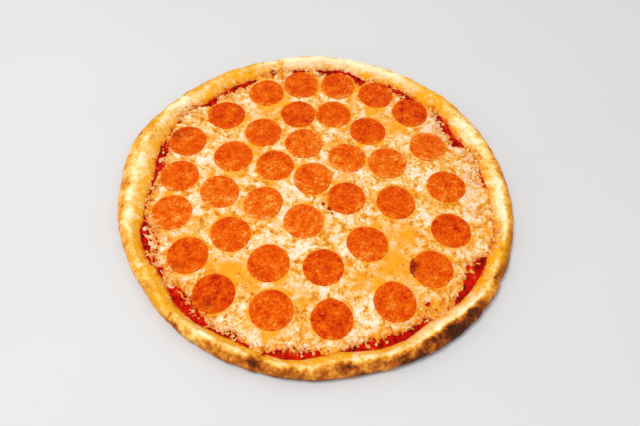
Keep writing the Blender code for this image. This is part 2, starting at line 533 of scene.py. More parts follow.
# How far the slope's foot lies from the CAD's, by bearing, in mm: negative is inwards
FOOT_SHIFT = {
    0: -3, 10: -4, 20: -3, 30: -8, 35: -6, 40: -3, 45: -1, 50: -6, 55: -5, 60: -4, 67: -5, 72: -6, 75: -9,
    78: -6, 80: -3, 85: -1, 90: -3, 100: -3, 110: 0, 118: -4, 125: -3, 135: -5, 140: -5.5, 145: -1, 150: 0,
    156: -2, 160: -5, 170: -6, 180: -8, 190: -3, 197: 0, 201: 4, 210: 4.5, 215: 0, 222: 0, 228: 3, 237: 2,
    242: -1, 250: -3, 260: -2, 264: -0.5, 269: -2, 275: -6, 280: -8, 285: -5, 292: -3, 300: -3, 305: -5,
    310: -7, 315: -6, 320: -3.5, 325: -2, 335: -0.5, 340: -1, 345: 1, 350: 1, 355: -1,
}
FOOT_OUT = 2.5              # and how far all of it moves outwards, in mm
# Browning of the rim's outer side, partly real browning and partly painted shade on the near side where it
# faces away from the light, and greasiness of its inner slope: bearing and amount
BROWNING_AND_SHADE = {
    0: 0.22, 18: 0.12, 30: 0.2, 45: 0.2, 55: 0.1, 75: 0.03, 108: 0.04, 120: 0.12, 135: 0.2, 150: 0.16,
    160: 0.3, 172: 0.16, 185: 0.11, 200: 0.14, 215: 0.17, 228: 0.17, 238: 0.2, 246: 0.27, 258: 0.32,
    270: 0.36, 282: 0.44, 292: 0.34, 302: 0.55, 312: 0.66, 320: 0.6, 328: 0.42, 336: 0.46, 343: 0.48,
    350: 0.36,
}
GREASE = {
    0: 0.2, 30: 0.25, 38: 0.5, 44: 0.7, 50: 0.95, 54: 0.65, 62: 0.52, 70: 0.5, 75: 0.38, 79: 0.24, 85: 0.28,
    95: 0.2, 105: 0.25, 112: 0.6, 119: 0.85, 126: 0.75, 135: 0.65, 145: 0.25, 155: 0.45, 168: 0.55,
    185: 0.55, 197: 0.75, 205: 0.85, 216: 0.9, 228: 0.95, 236: 0.7, 246: 0.6, 262: 0.65, 280: 0.95,
    288: 0.6, 300: 0.35, 312: 0.2, 320: 0.3, 330: 0.75, 342: 0.8, 352: 0.35,
}
# Greasy patches: bearing, share across the rim, half length round and across it in mm, amount
GREASE_SPOTS = (
    (51, 0.8, 26, 9, 1.3), (124, 0.72, 17, 9, 1.25), (138, 0.6, 16, 8, 0.5), (159, 0.75, 13, 7, 0.6),
    (75, 0.1, 6, 6, 0.9), (211, 0.6, 22, 9, 0.5), (226, 0.58, 20, 8, 0.55), (329, 0.5, 14, 6, 0.45),
    (342, 0.6, 16, 8, 0.6), (168, 0.85, 12, 5, 0.45), (66, 0.15, 10, 3, 0.4), (90, 0.12, 12, 3, 0.4),
    (272, 0.35, 20, 4, 0.4), (355, 0.8, 18, 4, 0.35), (98, 0.75, 10, 4, 0.2),
)
# Burnt sauce, most at the rim's foot: bearing, share across the rim, half lengths in mm, amount
SCORCHES = (
    (102.5, 0.03, 3.5, 1, 1), (111, 0.09, 3.5, 1.2, 1), (113.5, 0.12, 2.2, 0.9, 0.9),
    (119.5, 0.3, 3.2, 2.2, 0.6), (146, 0.08, 4, 1.4, 0.8), (167, 0, 6, 1.4, 0.7), (176, 0.02, 5, 1.2, 0.7),
    (213, 0.08, 3.5, 1.6, 0.9), (216.5, 0, 3.5, 2.2, 0.9), (187, 0, 4, 1.6, 0.6), (84, 0.06, 4, 1.2, 0.7),
    (304, 0, 6, 1.6, 0.7), (322, 0.05, 6, 1.6, 0.6), (245, 0.02, 5, 1.6, 0.5), (257.2, 0.46, 6, 7, 0.6),
    (258.6, 0.1, 3, 3, 0.7), (44, 0.04, 3, 2, 0.5), (127, 0.02, 3, 2, 0.7), (140, 0, 5, 2, 0.5),
)
# Orange-red stain where the sauce meets the rim: bearing and amount
GLOW = {
    0: 0.7, 20: 0.5, 30: 1.1, 45: 1.1, 55: 1.1, 70: 0.9, 78: 0.7, 84: 0.6, 92: 0.6, 100: 0.8, 115: 0.9,
    125: 1.1, 138: 1.2, 144: 1.3, 150: 0.9, 160: 0.9, 175: 1, 190: 0.6, 200: 0.9, 208: 1.3, 214: 1.5,
    222: 1.2, 230: 1.2, 240: 1, 250: 1.2, 262: 1.1, 275: 0.9, 285: 0.8, 300: 0.9, 315: 0.7, 325: 0.9,
    338: 1, 348: 0.8,
}
# Painted highlight on the crest, paler where light falls on it: bearing and amount
CREST_HIGHLIGHT = {
    0: 0.9, 18: 0.4, 35: 0.4, 45: 0.2, 53: 0.3, 60: 0.9, 72: 1.3, 95: 1.4, 106: 1.1, 112: 0.5, 120: 0.1,
    135: 0.2, 148: 0.9, 155: 0.4, 160: 0, 166: 0.2, 175: 0.5, 187: 0.45, 198: 0.7, 206: -0.1, 225: -0.1,
    235: 0.15, 242: 0.7, 252: 0.35, 262: 0, 272: 0.2, 282: 0.1, 292: 0.6, 304: 0.8, 318: 1.1, 326: 0.5,
    335: 0.3, 343: 0.1, 350: 0.5, 356: 0.9,
}
# Folds across the rim: bearing, lean in degrees across the rim, width and depth in mm
FOLDS = (
    (257.5, 2, 3.2, 1.3), (333, 3, 2.6, 3), (214, -3, 1.3, 1.1), (46, 7, 1.8, 1.2), (53, -3, 1.5, 0.9),
    (120, 2, 2, 0.8), (304, -2, 2.4, 0.7), (229, 5, 1.4, 0.9),
)
# Low blisters: bearing, share across the rim, radius and height in mm
BLISTERS = (
    (92.5, 0.8, 5, 1.3), (152, 0.5, 6, 1), (163, 0.72, 7, 0.9), (30, 0.6, 8, 0.8), (70, 0.55, 7, 0.8),
    (200, 0.6, 9, 0.8), (236, 0.55, 8, 0.9), (283, 0.6, 9, 0.8), (312, 0.6, 8, 0.9), (350, 0.55, 8, 0.8),
    (49.5, 0.55, 5, 1),
)
# Darker spots: bearing, share across the rim, half length round and across it in mm, amount
SPOTS = (
    (257.2, 0.48, 6.5, 7.5, 0.6), (259, 0.16, 4, 3.5, 0.4), (342.8, 0.46, 3.2, 3.6, 0.55),
    (333.3, 0.5, 1.1, 8, 0.22), (233.5, 0.97, 7, 2, 0.5), (158.5, 0.62, 2.6, 6, 0.3),
    (154, 0.45, 4, 3, 0.15), (165, 0.65, 5, 5, 0.12), (119, 0.35, 2, 2, 0.35), (49, 0.66, 6, 1.3, 0.3),
    (49, 0.55, 3, 7, 0.2), (312, 0.82, 15, 4.5, 0.25), (296, 0.8, 12, 3.5, 0.12), (214, 0.45, 1.3, 7, 0.3),
    (40, 0.75, 3, 4, 0.15), (266, 0.8, 9, 4, 0.18), (247, 0.8, 8, 4, 0.18), (229.5, 0.5, 4, 1.2, 0.4),
    (231, 0.7, 1.4, 4, 0.4), (282, 0.72, 3, 2.5, 0.15), (188, 0.8, 6, 3, 0.08), (20, 0.85, 6, 2, 0.1),
)


def foot_radius(turn):
    """Radius at which the rim's slope rises from the base."""
    return around(FOOT, turn) + (reading(FOOT_SHIFT, turn) + FOOT_OUT) * MM


def crest_radius(turn):
    """Radius of the rim's crest."""
    outline = around(OUTLINE, turn)
    return outline - CREST_SHARE * (outline - foot_radius(turn))


def rise(share):
    """Height share of the rim's inner side, from its foot (0) to its crest (1)."""
    return 0.6 * np.sqrt(1 - (1 - share) ** 2) + 0.4 * (1 - np.cos(math.pi * share)) / 2


def rim_rows():
    """Rows of (radius, height) round the dough, from the middle of its top out, down and under."""
    turn = even_turns(RIM_STEPS)
    outline, foot, crest = around(OUTLINE, turn), foot_radius(turn), crest_radius(turn)
    top = around(CREST, turn) - CREST_DROP
    widest = WIDEST_SHARE * top
    rows = [(foot * share, np.full_like(turn, BASE_TOP)) for share in (0.4, 0.8, 0.94)]
    for share in 1 - np.cos(np.linspace(0, math.pi / 2, 22))[:-1]:
        rows.append((foot + (crest - foot) * share, BASE_TOP + (top - BASE_TOP) * rise(share)))
    for angle in np.radians(np.linspace(0, 90, 22)):
        rows.append((crest + (outline - crest) * math.sin(angle), widest + (top - widest) * math.cos(angle)))
    for angle in np.radians(np.linspace(0, 90, 8))[1:]:
        rows.append((outline - TUCK * (1 - math.cos(angle)), widest * (1 - math.sin(angle))))
    rows += [((outline - TUCK) * share, np.zeros_like(turn)) for share in UNDERSIDE_SHARES]
    radius, height = (np.array(part) for part in zip(*rows))
    return turn, radius, height


def fold_depth(turn, radius, across):
    """Depth of the folds across the rim."""
    depth = np.zeros_like(radius)
    for bearing, lean, width, deep in FOLDS:
        away = degrees_from(turn, bearing + lean * (across - 0.5))
        shape = bell(np.radians(away) * radius / (width * MM))
        depth += deep * MM * shape * ease(across, 0.0, 0.2) * ease(across, 1.1, 0.85)
    return depth


def rim_patches(turn, radius, across, width, table):
    """Sum of patches given by bearing, share across the rim, two half lengths in mm and amount."""
    total = np.zeros_like(radius)
    for bearing, share, long, wide, amount in table:
        away_t = np.radians(degrees_from(turn, bearing)) * radius / (long * MM)
        away_r = (across - share) * width / (wide * MM)
        total += amount * bell(np.hypot(away_t, away_r))
    return total


def add_crust():
    turn, radius, height = rim_rows()
    rows = len(radius)
    turns = np.tile(turn, (rows, 1))
    foot, outline = foot_radius(turns), around(OUTLINE, turns)
    width = outline - foot
    across = (radius - foot) / width
    slope_r, slope_z = np.gradient(radius, axis=0), np.gradient(height, axis=0)
    length = np.hypot(slope_r, slope_z) + 1e-9
    normal_r, normal_z = -slope_z / length, slope_r / length
    spot = ring_points(radius, turns, height)

    def field(size, seed):
        return noise(spot, size, seed).reshape(radius.shape)

    swell = 0.9 * field(17, 1) + 0.5 * field(7.5, 2) + 0.2 * field(3, 3) - 0.5
    raised = tuple((bearing, share, size, size, high) for bearing, share, size, high in BLISTERS)
    swell += rim_patches(turns, radius, across, width, raised) * (normal_z > -0.2)
    row_index = np.arange(rows)[:, None]
    underside = row_index >= rows - len(UNDERSIDE_SHARES)
    free = ease(across, -0.05, 0.35) * (1 - underside) * ease(height, 0.2 * MM, 3 * MM)
    push = free * (swell * MM - fold_depth(turns, radius, across))
    radius = radius + push * normal_r
    low = 1 - ease(height, 2 * MM, 11 * MM)
    height = np.where(underside, UNDERSIDE_LIFT * ease(across, 0.7, 0.4), height + push * normal_z)
    drift, patch = field(11, 7), field(4, 8)
    browning_and_shade, far = reading(BROWNING_AND_SHADE, turns), ease(np.sin(turns), 0.0, 0.8)
    ragged = across + 0.06 * drift + 0.05 * patch
    outer = ease(ragged, 0.52 - 0.25 * browning_and_shade, 0.86 - 0.18 * browning_and_shade) * np.where(normal_r > -0.1, 1, 0)
    sweep = field(19, 17)
    bake = 0.18 + 0.13 * drift + 0.17 * sweep + 0.07 * patch
    # Outer side darkened by browning, with painted shade on the near side
    bake += browning_and_shade * outer * (1.0 + 0.22 * drift + 0.15 * patch)
    bake += outer * low * (0.10 + 0.35 * browning_and_shade) + 0.08 * (1 - far) * ease(across, 0.4, 0.1)
    bake += rim_patches(turns, radius, across + 0.05 * patch, width, SPOTS) * (1 + 0.4 * patch)
    # Painted highlight: a paler band along the crest, made wider on the far side
    highlight = reading(CREST_HIGHLIGHT, turns) * (1 + 0.7 * field(13, 18))
    spread = 0.12 + 0.05 * highlight + 0.22 * far
    bake -= 0.22 * highlight * bell((across - 0.46 + 0.16 * browning_and_shade) / spread)
    bake = np.where(underside, 0.45 + 0.12 * drift + 0.1 * patch, bake)
    grease = reading(GREASE, turns)
    reach = ease(across + 0.14 * sweep, 0.26 + 0.40 * grease, 0.18)
    grease = 1.3 * grease * reach * (1 + 0.4 * drift + 0.4 * sweep)
    grease += rim_patches(turns, radius, across, width, GREASE_SPOTS)
    scorch = rim_patches(turns, radius, across + 0.05 * patch, width, SCORCHES) * (1 + 0.5 * patch)
    blotch = ease(field(6, 9) + 0.5 * field(2.6, 10), -0.1, 0.5)
    glow = reading(GLOW, turns)
    stain = glow * ease(across, 0.20 + 0.07 * blotch * glow, 0.0) * (0.6 + 0.5 * blotch)
    points = ring_points(radius, turns, height)
    points, triangles = closed_stack(points, RIM_STEPS, (0, 0, BASE_TOP), (0, 0, UNDERSIDE_LIFT))
    masks = {"bake": padded(bake, 2, 0.4)}
    for name, values in (("grease", grease), ("stain", stain), ("scorch", scorch)):
        masks[name] = padded(values * ~underside, 2)
    piece = make_piece("crust_baked", points, triangles, crust_material(), masks)
    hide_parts("crust")


# Sauce and cheese

# Width of bare sauce between the cheese and the rim: bearing and mm (negative where cheese climbs the rim)
SAUCE_GAP = {
    0: -1, 6: 1, 8: 6, 14: 6, 16: 0, 20: -2.5, 23: -1, 25: 2, 27: 11, 33: 10, 36: 12, 40: 8, 43: 6, 46: 0,
    50: 0, 53: 3, 55: 10, 58: 10, 61: 7, 65: 2, 72: 1, 74: 2, 75: 11, 78: 13, 81: 6, 85: 6, 89: 10, 91: 10,
    94: 4, 98: 2, 102: 8, 105: 3, 107: -2, 109: 1, 111: 5, 114: 0, 117: -1, 119: 4, 122: 9, 127: 8, 131: 9,
    134: 5, 138: 9, 141: 8, 144: 0, 149: -2, 153: -1, 157: 1, 161: 1, 164: 7, 167: 10, 170: 9, 173: 10,
    177: 7, 181: 3, 184: 6, 188: 1, 193: 1, 197: 7, 200: 14, 203: 17, 206: 15, 209: 10, 213: 6, 217: 7,
    221: 1, 224: 13, 228: 15, 233: 14, 238: 9, 241: 4, 244: 5, 247: 9, 250: 5, 256: -1, 259: 2, 262: 9,
    268: 9, 272: 9, 274: 6, 276: 1, 282: 1, 284: 8, 288: 9, 295: 11, 300: 10, 304: 7, 309: 7, 312: 2,
    315: -1, 318: 0, 321: 6, 326: 8, 330: 14, 336: 13, 339: 5, 342: -1, 347: -3, 352: -2.5, 356: -1,
}
# Loose curds on the sauce: bearing, half spread in degrees and count
CURDS = (
    (205, 6, 30), (218, 5, 16), (231, 6, 14), (247, 5, 8), (267, 6, 5), (290, 9, 6), (38, 7, 14),
    (58, 2, 6), (12, 4, 14), (20, 3, 14), (350, 8, 22), (314, 6, 12), (148, 5, 16), (170, 9, 16),
    (94, 4, 8), (107, 4, 12), (130, 6, 12), (185, 4, 10),
)
# Larger ones: bearing, radius from the axis, size in mm and tone
LARGE_CURDS = (
    (222.5, 171.5, 3.4, 0.8), (203, 169, 2.8, 0.7), (58.5, 158, 3.2, 0.8), (92, 163, 2.6, 0.75),
)
SLOPE_REACH = 2.6           # how far up the rim's slope the sauce usually reaches past the foot, in mm
# Small holes in the cheese, most near its edge: x, y, radius in mm and depth share
HOLES = (
    (7, -13, 3.2, 0.9), (13, -19, 3.8, 1), (3, -17, 2.4, 0.6), (17, -24, 2.5, 0.7), (-20, -12, 2, 0.6),
    (109, -115, 3.4, 1.2), (-128, -102, 2.5, 0.8), (-84, -143.5, 3, 0.9), (-9, -165, 2.5, 0.8),
    (14, -159, 2.5, 0.7), (152, 45.5, 2.5, 0.8), (159, 33, 3, 0.8), (-107, 121, 2.5, 0.8),
    (-62, 163, 2.5, 0.7), (40, -52, 1.8, 0.6), (103, -28, 1.8, 0.6), (-121, 60, 2, 0.5),
    (132, -100, 2.2, 0.6),
)
# Oily pools and white patches: x, y, radius in mm and strength
POOLS = (
    (88, -45, 16, 0.7), (80, -75, 16, 0.8), (-80, -98, 15, 0.5), (-85, 15, 8, 0.8), (60, 65, 12, 0.2),
    (80, 92, 12, 0.7), (-60, 100, 14, 0.5), (-88, 50, 10, 0.5), (-100, -35, 10, 0.2), (45, -100, 12, 0.5),
    (-120, -65, 10, 0.5), (-35, -156, 4, 1.2), (-148, -17, 5, 1.2), (-10, -110, 12, 0.4),
    (128, -60, 12, 0.3), (-62, -100, 13, 0.8), (32, 150, 11, 1.2), (-60, 122, 13, 1.1), (60, 120, 10, 0.8),
    (58, 90, 13, 1.2), (30, 122, 9, 0.5), (-88, 90, 11, 0.8), (-70, 62, 12, 0.4), (-148, -58, 8, 0.7),
    (60, -32, 10, 0.4), (60, -92, 13, 0.5), (96, -92, 11, 0.5), (-30, -120, 9, 0.9), (-30, 90, 8, 0.5),
    (118, -116, 9, 0.7), (-30, -150, 9, 1.1), (2, -150, 9, 0.3), (62, -152, 8, 0.7), (-60, 32, 8, 0.7),
)
WHITES = (
    (-118, 32, 12, 0.9), (-28, 0, 13, 1.2), (44, 22, 10, 0.4), (22, -28, 12, 0.5), (-55, -72, 8, 0.5),
    (54, -130, 12, 0.6), (126, 96, 12, 0.7), (-90, 112, 14, 0.8), (-12, -72, 11, 0.9), (105, 30, 15, 0.8),
    (-68, 20, 7, 0.3), (108, -20, 10, 0.6), (-115, -20, 9, 0.5), (20, -115, 10, 0.6), (150, 15, 14, 0.5),
    (166, 10, 9, 0.6), (158, 52, 8, 0.5), (-30, 122, 9, 0.7), (0, 122, 10, 0.6), (30, 60, 8, 0.5),
    (120, 60, 9, 0.5), (-148, 30, 8, 0.7), (0, 32, 9, 0.7), (-58, -30, 9, 1), (-30, -30, 11, 1),
    (148, -28, 12, 1.4), (-30, -58, 12, 0.8), (32, -60, 12, 0.8), (-60, -150, 8, 0.5), (125, 30, 10, 0.4),
    (-148, -30, 6, 0.4), (60, 50, 8, 0.4), (0, -58, 8, 0.4), (160, 34, 10, 0.8), (148, 64, 9, 0.6),
    (117, 108, 9, 1), (-155, -48, 8, 0.6), (-45, -158, 9, 0.6), (-75, -145, 8, 0.5), (40, -153, 9, 0.9),
)
# Where sauce shows through thin cheese: x, y, radius in mm and strength
BLUSHES = (
    (132, 100, 20, 0.8), (155, 60, 10, 0.6), (158, 20, 14, 0.5), (160, -12, 10, 0.5), (-160, -62, 14, 0.9),
    (30, 28, 10, 0.4), (152, -62, 10, 0.3), (-138, 30, 10, 0.3), (20, 148, 8, 0.5),
)


def sauce_height(x, y):
    """Height of the sauce's lumpy top."""
    radius, turn = to_polar(x, y)
    spot = flat(x, y)
    lumps = 0.60 * noise(spot, 5, 11) + 0.35 * noise(spot, 2.5, 12)
    wander = 1 + 0.8 * noise(spot, 9, 13) + 0.8 * noise(spot, 4, 14)
    climb = 1.8 * ease(radius - foot_radius(turn), -5 * MM, 5 * MM) * wander
    return SAUCE_TOP + (lumps + climb) * MM


def slice_distance(x, y):
    """Distance outside the nearest slice's edge, negative under a slice."""
    centre_x, centre_y, radius = SLICES.T
    away = np.hypot(np.subtract.outer(x, centre_x), np.subtract.outer(y, centre_y)) - radius
    return away.min(axis=-1)


def cheese_edge(turn):
    """Mean radius of the cheese's edge."""
    return foot_radius(turn) + (SLOPE_REACH - reading(SAUCE_GAP, turn)) * MM


def cheese_cover(x, y):
    """1 where the cheese lies, 0 where it has drawn back from the sauce."""
    radius, turn = to_polar(x, y)
    spot = flat(x, y)
    ragged = 2.8 * noise(spot, 7, 21) + 2.2 * noise(spot, 3, 22)
    inside = cheese_edge(turn) + ragged * MM - radius
    cover = ease(inside, -1.2 * MM, 2.0 * MM)
    holes = blobs(x, y, HOLES) * (1 + 0.6 * noise(spot, 3, 23))
    holes += ease(inside, 9 * MM, 1 * MM) * ease(noise(spot, 4.5, 24), 0.25, 0.55)
    return cover * (1 - np.clip(holes, 0, 1))


def dough_height(radius, turn):
    """Height of the rim's slope, before its swells."""
    foot, crest = foot_radius(turn), crest_radius(turn)
    share = np.clip((radius - foot) / (crest - foot), 0, 1)
    return BASE_TOP + (around(CREST, turn) - BASE_TOP) * rise(share)


def cheese_relief(x, y):
    """Swells, curds and pits of the cheese, in mm, and the curds' share from valley to top."""
    spot = flat(x, y)
    bent = spot + flat(*(noise(spot, 5, k) * 1.6 * MM for k in (31, 32)))
    near, next_near, own = cells(bent, 4.6, 33)
    curd = ease(next_near - near, 0.0, 0.5) * (0.45 + 0.55 * own)
    swell = 0.45 * noise(spot, 28, 34) + 0.30 * noise(spot, 11, 35)
    fine = 0.28 * noise(spot, 3.2, 36)
    pit_near, _, pit_own = cells(spot, 7, 37)
    pits = np.where(pit_own > 0.45, ease(pit_near, 0.22, 0.08), 0)
    return swell + 0.9 * (curd - 0.4) + fine - 0.6 * pits, curd, pits


def cheese_height(x, y):
    relief, curd, pits = cheese_relief(x, y)
    radius, turn = to_polar(x, y)
    away = slice_distance(x, y)
    open_share = ease(away, -0.5 * MM, 2.0 * MM)
    lip = 1.1 * bell((away - 0.5 * MM) / (1.4 * MM))
    top = CHEESE_TOP + (relief * (0.15 + 0.85 * open_share) + lip - 0.5 * (1 - open_share)) * MM
    climbing = ease(-reading(SAUCE_GAP, turn), 0.5, 4)
    slope = dough_height(radius, turn) + (0.6 + 0.5 * relief) * MM
    top = np.maximum(top, np.where(radius > foot_radius(turn), slope * climbing, 0))
    cover = cheese_cover(x, y)
    sauce = sauce_height(x, y)
    return sauce - 0.9 * MM + cover * (top - sauce + 0.9 * MM), cover, curd, pits, away


def add_sauce():
    """Sauce over the dough, seen at the cheese's edge and through its holes."""
    turn = even_turns(SAUCE_STEPS)
    foot = foot_radius(turn)
    rows = [foot * share for share in np.linspace(0.05, 0.82, 20)]
    rows += [foot + offset * MM for offset in np.arange(-28.0, 7.5, 1.25)]
    x, y = (part.ravel() for part in polar(np.array(rows), turn))
    spot = flat(x, y)
    bearing = np.degrees(np.arctan2(y, x)) % 360
    far = (ease(bearing, 50, 75) + ease(bearing, 105, 130)) * ease(bearing, 205, 185)
    tone = 0.46 - 0.02 * far + 0.28 * noise(spot, 7, 15) - 0.28 * ease(noise(spot, 4, 16), 0.2, 0.7)
    tone += 0.12 * bell((bearing - 11) / 6) + 0.10 * bell((bearing - 220) / 22)
    low = BASE_TOP + 0.3 * MM
    top = np.stack([x, y, sauce_height(x, y)], axis=1)
    points = np.concatenate([top, ring_points(foot * 0.99, turn, low)])
    points, triangles = closed_stack(points, SAUCE_STEPS, (0, 0, SAUCE_TOP), (0, 0, low))
    masks = {"tone": padded(tone, SAUCE_STEPS + 2, 0.5)}
    piece = make_piece("sauce_tomato", points, triangles, sauce_material(), masks)
    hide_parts("sauce")


def cheese_tone(x, y, curd, away):
    """Tone of the cheese, from 0 for orange to 1 for white curd, and the oil that lies on it."""
    spot = flat(x, y)
    radius, turn = to_polar(x, y)
    halo = ease(away, 3.6 * MM, 0.3 * MM) * np.clip(0.45 + 1.3 * noise(spot, 9, 45), 0.05, 1.2)
    near_edge = ease(radius - cheese_edge(turn), -9 * MM, -1 * MM)
    seep = ease(noise(spot, 13, 46), 0.1, 0.7)
    oil = 0.9 * halo + 1.1 * blobs(x, y, POOLS) + 0.35 * near_edge + 0.6 * seep
    tone = 0.48 + 0.18 * noise(spot, 20, 41) + 0.38 * noise(spot, 8, 42)
    tone += (0.36 + 0.50 * near_edge) * (curd - 0.45) - 0.03 * near_edge
    white = np.clip(blobs(x, y, WHITES), 0, 1)
    return tone + 0.30 * white, oil * (1 - 0.8 * white)


def add_cheese(material):
    shares, turns, triangles = disc_layout(CHEESE_RINGS)
    radius = shares * (around(FOOT, turns) + CHEESE_REACH)
    x, y = polar(radius, turns)
    height, cover, curd, pits, away = cheese_height(x, y)
    spot = flat(x, y)
    tone, oil = cheese_tone(x, y, curd, away)
    beside_sauce = ease(reading(SAUCE_GAP, turns), 0, 7) * ease(radius - cheese_edge(turns), -9 * MM, -2 * MM)
    blush = 0.10 * beside_sauce + 0.6 * blobs(x, y, BLUSHES)
    near_edge = ease(radius - cheese_edge(turns), -10 * MM, 0)
    toast = 0.16 + 0.35 * (1 - cover) + 0.20 * pits + 0.35 * near_edge * (1 - curd)
    toast += 0.14 * noise(spot, 12, 44)
    count = 6 * CHEESE_RINGS
    low = BASE_TOP + 1.0 * MM
    row = ring_points(radius[-count:], turns[-count:], low)
    points, triangles = closed_disc(np.stack([x, y, height], axis=1), triangles, count, [row], low)
    masks = {"tone": tone, "oil": oil, "toast": toast, "blush": blush}
    masks = {mask: padded(values, count + 1) for mask, values in masks.items()}
    piece = make_piece("cheese_melted", points, triangles, material, masks)
    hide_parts("cheese")


# Pepperoni

RED_SLICES = (3, 4, 8, 13, 15, 18, 20, 22, 28)
ORANGE_SLICES = (2, 11, 19, 25, 31, 32, 34, 35, 37)
# Slices with more pale flecks, partly fat and partly painted glints
SPECKLED_SLICES = (14, 28, 35, 36, 29, 16, 23)
SLICE_TONE = 0.51
REDDER = -0.11
MORE_ORANGE = 0.13
# Dark spots on slices: slice, bearing on the slice, share of its radius, radius in mm, strength
SCORCHED = (
    (17, 172, 1, 4.5, 1), (17, 190, 1, 4, 0.8), (13, 250, 0.6, 5, 0.5), (12, 235, 0.75, 4, 0.4),
    (9, 150, 0.8, 7, 0.5),
)
# The slice with a crisped edge beside it, and the bearings on the slice that the edge runs between
SCORCHED_SLICE = 17
SCORCHED_EDGE = (146, 212)
SLICE_BASE = 8.3 * MM
SLICE_TOP = 10.0 * MM


def slice_outline(turn, radius, rng):
    """A slightly uneven round outline."""
    wander = np.zeros_like(turn)
    for waves, size in ((2, 0.016), (3, 0.010), (5, 0.006), (9, 0.004)):
        wander += size * rng.normal() * np.sin(waves * turn + rng.uniform(0, 6.3))
    return radius * (0.995 + wander)


def add_slices():
    shares, turns, triangles = disc_layout(SLICE_RINGS)
    count = 6 * SLICE_RINGS
    material = pepperoni_material()
    for number, (centre_x, centre_y, radius) in enumerate(SLICES, start=1):
        rng = np.random.default_rng(500 + number)
        edge = slice_outline(turns, radius, rng)
        out = edge * (1 - (1 - shares) ** 1.15)
        x, y = out * np.cos(turns) + centre_x, out * np.sin(turns) + centre_y
        rho = out / edge
        spot = flat(x, y)
        bend = rng.uniform(0.15, 0.4) * rho ** 2 * np.cos(2 * (turns - rng.uniform(0, 3.1)))
        cup = rng.uniform(0.1, 0.5) * rho ** 4
        skin = 0.16 * noise(spot, 4, 51) + 0.10 * noise(spot, 1.8, 52)
        round_off = 0.55 * ease(rho, 0.93, 1.0)
        height = SLICE_TOP + (bend + cup + skin - round_off) * MM
        top = np.stack([x, y, height], axis=1)
        rim = top[-count:]
        drop = 0.7 * MM
        middle_row = rim - [0, 0, drop]
        middle_row[:, :2] += (rim[:, :2] - [centre_x, centre_y]) * 0.010
        bottom_row = rim.copy()
        bottom_row[:, :2] -= (rim[:, :2] - [centre_x, centre_y]) * 0.02
        bottom_row[:, 2] = SLICE_BASE
        points, faces = closed_disc(top, triangles, count, [middle_row, bottom_row], SLICE_BASE)
        points[-1, :2] = centre_x, centre_y
        tone = SLICE_TONE + REDDER * (number in RED_SLICES) + MORE_ORANGE * (number in ORANGE_SLICES)
        tone = tone + rng.uniform(-0.03, 0.03) + 0.18 * noise(spot, 11, 53)
        # Edges more orange; the rho * sin(turns) term paints light and shade across every slice, lighter
        # towards -y and darker towards +y
        tone += 0.10 * ease(rho, 0.84, 0.97) - 0.06 * rho * np.sin(turns)
        burn = np.zeros_like(rho)
        for which, bearing, share, size, strength in SCORCHED:
            if which == number:
                off_x, off_y = polar(radius * share, math.radians(bearing))
                gap = np.hypot(x - centre_x - off_x, y - centre_y - off_y)
                burn += strength * bell(gap / (size * MM))
        masks = {"tone": padded(tone, 2 * count + 1, 0.5), "burn": padded(burn, 2 * count + 1)}
        piece = make_piece(f"pepperoni_slice_{number:02d}", points, faces, material, masks)
        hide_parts(f"pepperoni_{number:02d}")


# Small pieces

# Shreds of cheese: bearing, radius in mm, spreads in degrees and mm, count, length in mm and tone
SHREDS = (
    (203, 168, 5, 7, 24, 12, 0.62), (211, 171, 3, 4, 13, 9, 0.5), (222, 170, 4, 5, 10, 9, 0.5),
    (231, 168, 4, 5, 7, 11, 0.45), (241, 170, 4, 5, 10, 8, 0.5), (250, 169, 6, 4, 12, 8, 0.55),
    (265, 166, 6, 3, 8, 7, 0.5), (286, 163, 5, 3, 8, 8, 0.7), (300, 163, 7, 3, 9, 7, 0.5),
    (315, 167, 5, 5, 14, 7, 0.42), (328, 164, 4, 3, 6, 7, 0.5), (345, 178, 6, 5, 14, 7, 0.55),
    (355, 171, 5, 4, 8, 7, 0.55), (12, 162, 4, 5, 14, 8, 0.58), (22, 168, 3, 6, 12, 7, 0.6),
    (34, 159, 1.5, 4, 5, 11, 0.85), (40, 163, 3, 4, 10, 10, 0.85), (59, 158, 1.5, 4, 4, 9, 0.6),
    (92, 164, 2, 2, 5, 7, 0.6), (106, 168, 2, 5, 10, 7, 0.45), (112, 171, 2, 4, 8, 7, 0.45),
    (130, 161, 3, 4, 8, 7, 0.6), (148, 168, 5, 5, 12, 8, 0.6), (170, 162, 4, 3, 6, 7, 0.65),
    (186, 163, 4, 4, 8, 7, 0.55),
)


def gather(parts):
    """Joins (points, triangles, tone) parts into the arrays of one mesh."""
    points, triangles, tones, start = [], [], [], 0
    for part_points, part_triangles, tone in parts:
        points.append(part_points)
        triangles.append(part_triangles + start)
        tones.append(np.full(len(part_points), tone))
        start += len(part_points)
    return np.concatenate(points), np.concatenate(triangles), np.concatenate(tones)


def tube(path, radius, sides=6):
    """Points and triangles of a closed tube along a path."""
    ahead = np.gradient(path, axis=0)
    ahead /= np.linalg.norm(ahead, axis=1)[:, None]
    side = np.stack([-ahead[:, 1], ahead[:, 0], np.zeros(len(path))], axis=1)
    side /= np.linalg.norm(side, axis=1)[:, None] + 1e-9
    down = np.cross(side, ahead)
    turn = even_turns(sides)
    ring = side[:, None] * np.cos(turn)[None, :, None] + down[:, None] * np.sin(turn)[None, :, None]
    points = (path[:, None] + ring * radius[:, None, None]).reshape(-1, 3)
    return closed_stack(points, sides, path[0], path[-1])


